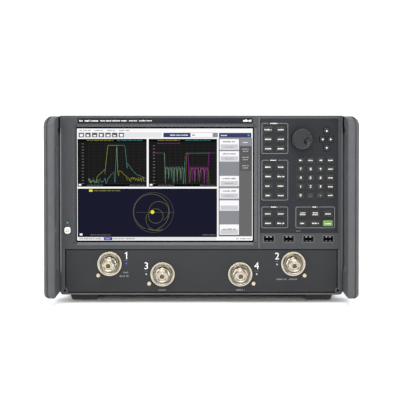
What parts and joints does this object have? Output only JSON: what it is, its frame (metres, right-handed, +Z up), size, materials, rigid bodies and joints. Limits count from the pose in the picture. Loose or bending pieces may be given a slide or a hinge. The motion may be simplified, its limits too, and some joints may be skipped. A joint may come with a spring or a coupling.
{
  "type": "vector network analyzer",
  "caption": "Bench vector network analyzer: wide screen at left, keypad and knob at right, coaxial test ports along the base, a grip handle on each side, rear bumpers",
  "frame": {"origin": "on the floor under the middle of the overall box", "axes": "+Z up, the front panel faces -Y, +X to the right as seen from the front"},
  "size_m": [0.46, 0.625, 0.2833],
  "materials": {
    "casting": "satin grey paint on a cast aluminium frame",
    "moulding": "fine textured grey moulding",
    "overlay_film": "dark satin keypad overlay",
    "panel_paint": "dark satin painted panel",
    "screen_glass": "smooth touch glass",
    "display_metal": "stamped display case",
    "circuit_board": "green solder mask",
    "cover_paint": "textured grey paint on sheet steel",
    "sheet_steel": "zinc plated sheet steel",
    "inner_aluminium": "milled and plated aluminium",
    "drive_metal": "brushed aluminium case",
    "handle_paint": "satin grey paint on cast aluminium",
    "black_plastic": "black moulded plastic",
    "white_plastic": "white moulded plastic",
    "knob_plastic": "soft dark grey moulded plastic",
    "preset_green": "green moulded rubber key",
    "key_plastic": "dark grey moulded rubber keys",
    "nickel": "warm nickel plating",
    "foot_rubber": "dark grey moulded elastomer"
  },
  "bodies": {
    "instrument_body": {"front_frame": "casting", "front_bezel": "moulding", "keypad_overlay": "overlay_film", "port_panel": "panel_paint", "touch_glass": "screen_glass", "lcd_module": "display_metal", "front_panel_board": "circuit_board", "main_board": "circuit_board", "outer_cover": "cover_paint", "chassis_tray": "sheet_steel", "rear_panel": "sheet_steel", "power_supply": "inner_aluminium", "test_set_deck": "inner_aluminium", "handle_left": "handle_paint", "handle_right": "handle_paint", "power_inlet": "black_plastic", "fan_frame": "black_plastic", "port_flange_1": "nickel", "port_connector_1": "nickel", "port_flange_2": "nickel", "port_connector_2": "nickel", "port_flange_3": "nickel", "port_connector_3": "nickel", "port_flange_4": "nickel", "port_connector_4": "nickel", "foot_front_left": "foot_rubber", "foot_rear_left": "foot_rubber", "bumper_top_left": "foot_rubber", "bumper_bottom_left": "foot_rubber", "foot_front_right": "foot_rubber", "foot_rear_right": "foot_rubber", "bumper_top_right": "foot_rubber", "bumper_bottom_right": "foot_rubber"},
    "power_button": {"power_button": "white_plastic"},
    "knob": {"knob": "knob_plastic"},
    "preset_key": {"preset_key": "preset_green"},
    "fan_rotor": {"fan_rotor": "black_plastic"},
    "drive_tray": {"drive_tray": "drive_metal"},
    "tilt_leg_left": {"tilt_leg_left": "black_plastic"},
    "tilt_leg_right": {"tilt_leg_right": "black_plastic"},
    "arrow_up": {"arrow_up": "key_plastic"},
    "arrow_down": {"arrow_down": "key_plastic"},
    "arrow_left": {"arrow_left": "key_plastic"},
    "arrow_right": {"arrow_right": "key_plastic"},
    "instrument_row_1": {"instrument_row_1": "key_plastic"},
    "instrument_row_2": {"instrument_row_2": "key_plastic"},
    "instrument_row_3": {"instrument_row_3": "key_plastic"},
    "response_row_1": {"response_row_1": "key_plastic"},
    "response_row_2": {"response_row_2": "key_plastic"},
    "response_row_3": {"response_row_3": "key_plastic"},
    "response_row_4": {"response_row_4": "key_plastic"},
    "stimulus_row_1": {"stimulus_row_1": "key_plastic"},
    "stimulus_row_2": {"stimulus_row_2": "key_plastic"},
    "number_row_1": {"number_row_1": "key_plastic"},
    "number_row_2": {"number_row_2": "key_plastic"},
    "number_row_3": {"number_row_3": "key_plastic"},
    "number_row_4": {"number_row_4": "key_plastic"},
    "number_row_5": {"number_row_5": "key_plastic"},
    "utility_row_1": {"utility_row_1": "key_plastic"},
    "utility_row_2": {"utility_row_2": "key_plastic"}
  },
  "joints": [
    {"name": "press_instrument_row_1", "type": "slide", "parent": "instrument_body", "child": "instrument_row_1", "axis": [0, 1, 0], "range_m": [0, 0.0015], "stiffness_N_per_m": 300},
    {"name": "press_instrument_row_2", "type": "slide", "parent": "instrument_body", "child": "instrument_row_2", "axis": [0, 1, 0], "range_m": [0, 0.0015], "stiffness_N_per_m": 300},
    {"name": "press_instrument_row_3", "type": "slide", "parent": "instrument_body", "child": "instrument_row_3", "axis": [0, 1, 0], "range_m": [0, 0.0015], "stiffness_N_per_m": 300},
    {"name": "press_response_row_1", "type": "slide", "parent": "instrument_body", "child": "response_row_1", "axis": [0, 1, 0], "range_m": [0, 0.0015], "stiffness_N_per_m": 300},
    {"name": "press_response_row_2", "type": "slide", "parent": "instrument_body", "child": "response_row_2", "axis": [0, 1, 0], "range_m": [0, 0.0015], "stiffness_N_per_m": 300},
    {"name": "press_response_row_3", "type": "slide", "parent": "instrument_body", "child": "response_row_3", "axis": [0, 1, 0], "range_m": [0, 0.0015], "stiffness_N_per_m": 300},
    {"name": "press_response_row_4", "type": "slide", "parent": "instrument_body", "child": "response_row_4", "axis": [0, 1, 0], "range_m": [0, 0.0015], "stiffness_N_per_m": 300},
    {"name": "press_stimulus_row_1", "type": "slide", "parent": "instrument_body", "child": "stimulus_row_1", "axis": [0, 1, 0], "range_m": [0, 0.0015], "stiffness_N_per_m": 300},
    {"name": "press_stimulus_row_2", "type": "slide", "parent": "instrument_body", "child": "stimulus_row_2", "axis": [0, 1, 0], "range_m": [0, 0.0015], "stiffness_N_per_m": 300},
    {"name": "press_number_row_1", "type": "slide", "parent": "instrument_body", "child": "number_row_1", "axis": [0, 1, 0], "range_m": [0, 0.0015], "stiffness_N_per_m": 300},
    {"name": "press_number_row_2", "type": "slide", "parent": "instrument_body", "child": "number_row_2", "axis": [0, 1, 0], "range_m": [0, 0.0015], "stiffness_N_per_m": 300},
    {"name": "press_number_row_3", "type": "slide", "parent": "instrument_body", "child": "number_row_3", "axis": [0, 1, 0], "range_m": [0, 0.0015], "stiffness_N_per_m": 300},
    {"name": "press_number_row_4", "type": "slide", "parent": "instrument_body", "child": "number_row_4", "axis": [0, 1, 0], "range_m": [0, 0.0015], "stiffness_N_per_m": 300},
    {"name": "press_number_row_5", "type": "slide", "parent": "instrument_body", "child": "number_row_5", "axis": [0, 1, 0], "range_m": [0, 0.0015], "stiffness_N_per_m": 300},
    {"name": "press_utility_row_1", "type": "slide", "parent": "instrument_body", "child": "utility_row_1", "axis": [0, 1, 0], "range_m": [0, 0.0015], "stiffness_N_per_m": 300},
    {"name": "press_utility_row_2", "type": "slide", "parent": "instrument_body", "child": "utility_row_2", "axis": [0, 1, 0], "range_m": [0, 0.0015], "stiffness_N_per_m": 300},
    {"name": "press_arrow_up", "type": "slide", "parent": "instrument_body", "child": "arrow_up", "axis": [0, 1, 0], "range_m": [0, 0.0015], "stiffness_N_per_m": 300},
    {"name": "press_arrow_down", "type": "slide", "parent": "instrument_body", "child": "arrow_down", "axis": [0, 1, 0], "range_m": [0, 0.0015], "stiffness_N_per_m": 300},
    {"name": "press_arrow_left", "type": "slide", "parent": "instrument_body", "child": "arrow_left", "axis": [0, 1, 0], "range_m": [0, 0.0015], "stiffness_N_per_m": 300},
    {"name": "press_arrow_right", "type": "slide", "parent": "instrument_body", "child": "arrow_right", "axis": [0, 1, 0], "range_m": [0, 0.0015], "stiffness_N_per_m": 300},
    {"name": "press_preset_key", "type": "slide", "parent": "instrument_body", "child": "preset_key", "axis": [0, 1, 0], "range_m": [0, 0.0015], "stiffness_N_per_m": 300},
    {"name": "press_power_button", "type": "slide", "parent": "instrument_body", "child": "power_button", "axis": [0, 1, 0], "range_m": [0, 0.001], "stiffness_N_per_m": 400},
    {"name": "turn_knob", "type": "hinge", "parent": "instrument_body", "child": "knob", "pos_m": [0.1503, -0.2735, 0.248], "axis": [0, -1, 0], "continuous": true},
    {"name": "spin_fan", "type": "hinge", "parent": "instrument_body", "child": "fan_rotor", "pos_m": [-0.13, 0.274, 0.103], "axis": [0, 1, 0], "continuous": true},
    {"name": "slide_drive", "type": "slide", "parent": "instrument_body", "child": "drive_tray", "axis": [0, 1, 0], "range_m": [0, 0.11]},
    {"name": "tilt_left", "type": "hinge", "parent": "instrument_body", "child": "tilt_leg_left", "pos_m": [-0.1796, -0.232, 0.0065], "axis": [-1, 0, 0], "range_deg": [0, 80]},
    {"name": "tilt_right", "type": "hinge", "parent": "instrument_body", "child": "tilt_leg_right", "pos_m": [0.1796, -0.232, 0.0065], "axis": [-1, 0, 0], "range_deg": [0, 80]}
  ]
}
